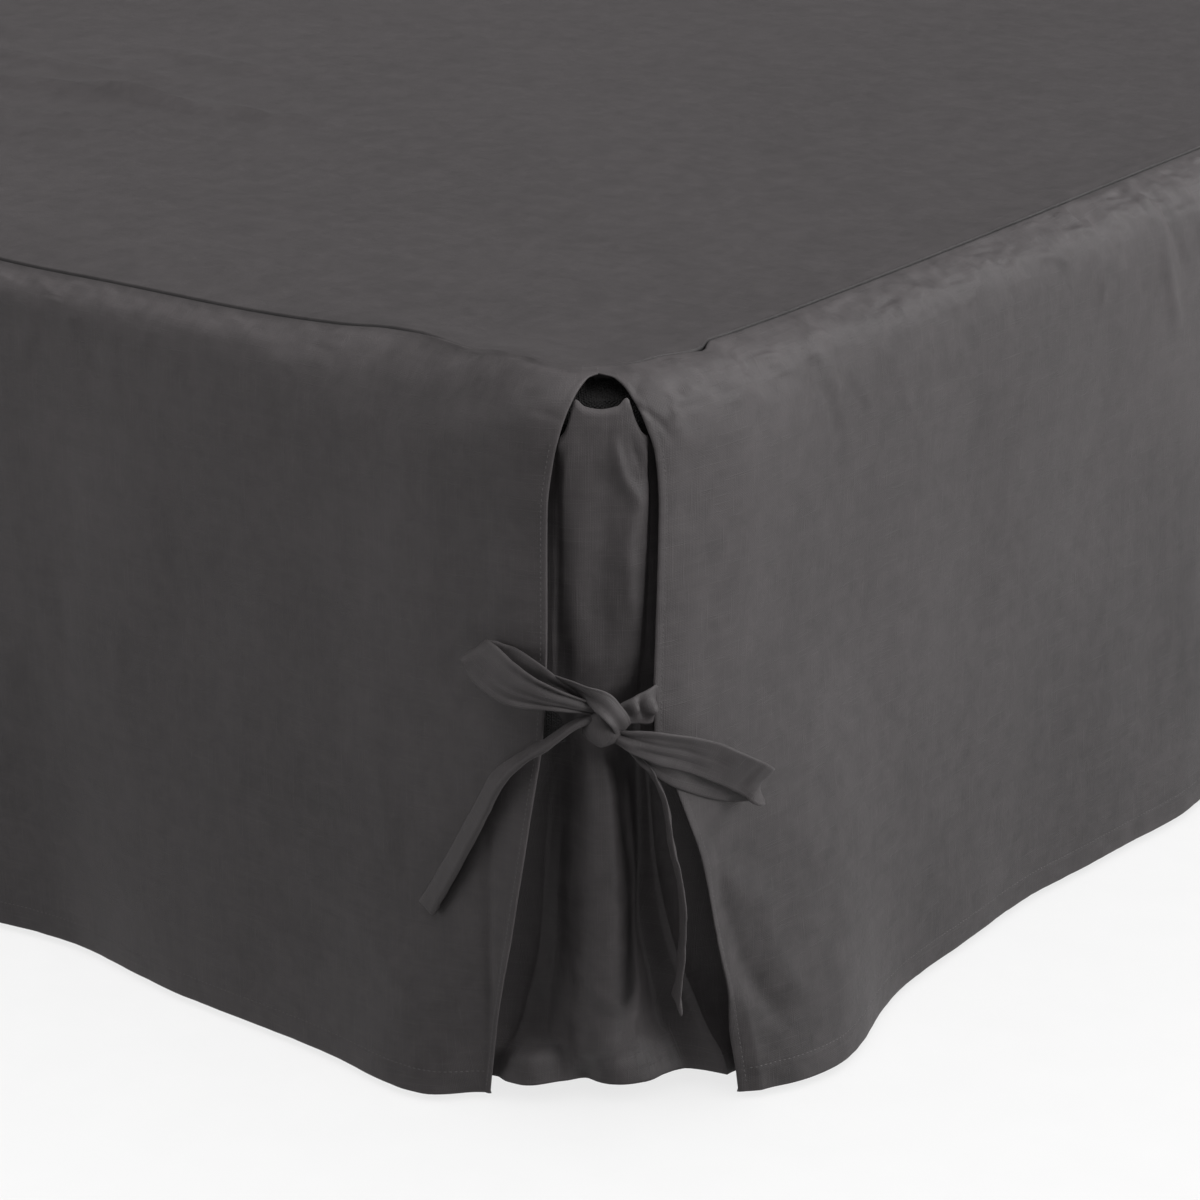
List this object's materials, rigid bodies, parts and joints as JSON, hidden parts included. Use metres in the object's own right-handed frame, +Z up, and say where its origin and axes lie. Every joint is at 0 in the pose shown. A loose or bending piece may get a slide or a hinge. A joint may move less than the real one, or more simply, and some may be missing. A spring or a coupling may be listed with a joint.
{
  "type": "mattress cover on a bed base",
  "caption": "Fitted linen bed-base cover with a flat top, a hanging skirt and corner slits tied with bows, on its plain bed base with legs.",
  "frame": {"origin": "on the floor, under the middle of the bed", "axes": "+Z up, the length along Y with the foot end at -Y, the width along X"},
  "size_m": [1.477, 1.977, 0.384],
  "materials": {
    "top_linen": "matt washed linen",
    "skirt_linen": "matt washed linen",
    "insert_linen": "matt washed linen",
    "tie_linen": "matt washed linen, sewn flat",
    "base_cloth": "matt upholstery cloth",
    "leg_wood": "dark stained, satin"
  },
  "bodies": {
    "root": {"top_panel": "top_linen", "skirt_foot": "skirt_linen", "skirt_right": "skirt_linen", "skirt_head": "skirt_linen", "skirt_left": "skirt_linen", "corner_insert_foot_right": "insert_linen", "corner_insert_head_right": "insert_linen", "corner_insert_head_left": "insert_linen", "corner_insert_foot_left": "insert_linen", "tie_a_foot_right": "tie_linen", "tie_a_head_right": "tie_linen", "tie_a_head_left": "tie_linen", "tie_a_foot_left": "tie_linen", "tie_b_foot_right": "tie_linen", "tie_b_head_right": "tie_linen", "tie_b_head_left": "tie_linen", "tie_b_foot_left": "tie_linen", "bed_base": "base_cloth", "bed_leg_foot_right": "leg_wood", "bed_leg_head_right": "leg_wood", "bed_leg_head_left": "leg_wood", "bed_leg_foot_left": "leg_wood"}
  },
  "joints": []
}
